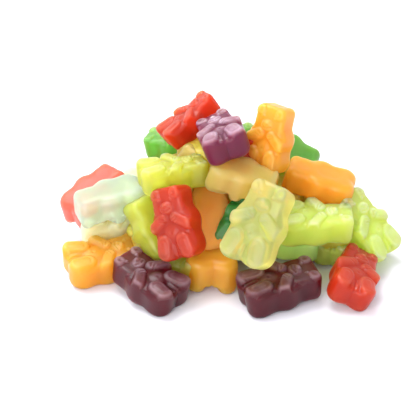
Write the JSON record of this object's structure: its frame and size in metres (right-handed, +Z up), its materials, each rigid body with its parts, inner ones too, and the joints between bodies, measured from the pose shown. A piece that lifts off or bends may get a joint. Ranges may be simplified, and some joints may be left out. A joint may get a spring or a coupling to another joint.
{
  "type": "gummy bears",
  "caption": "Loose heap of moulded fruit jelly bears in several colours, tipped out on a flat surface.",
  "frame": {"origin": "middle of the heap's plan, on the surface it lies on", "axes": "+X along the heap's length, +Y towards its back, +Z up"},
  "size_m": [0.0864, 0.0671, 0.0413],
  "materials": {
    "jelly_amber": "moulded fruit jelly, lightly oiled",
    "jelly_orange": "moulded fruit jelly, lightly oiled",
    "jelly_red": "moulded fruit jelly, lightly oiled",
    "jelly_purple": "moulded fruit jelly, lightly oiled",
    "jelly_lemon": "moulded fruit jelly, lightly oiled",
    "jelly_lime": "moulded fruit jelly, lightly oiled",
    "jelly_green": "moulded fruit jelly, lightly oiled",
    "jelly_clear": "moulded fruit jelly, lightly oiled"
  },
  "bodies": {
    "root": {"heap": "jelly_amber"}
  },
  "joints": []
}
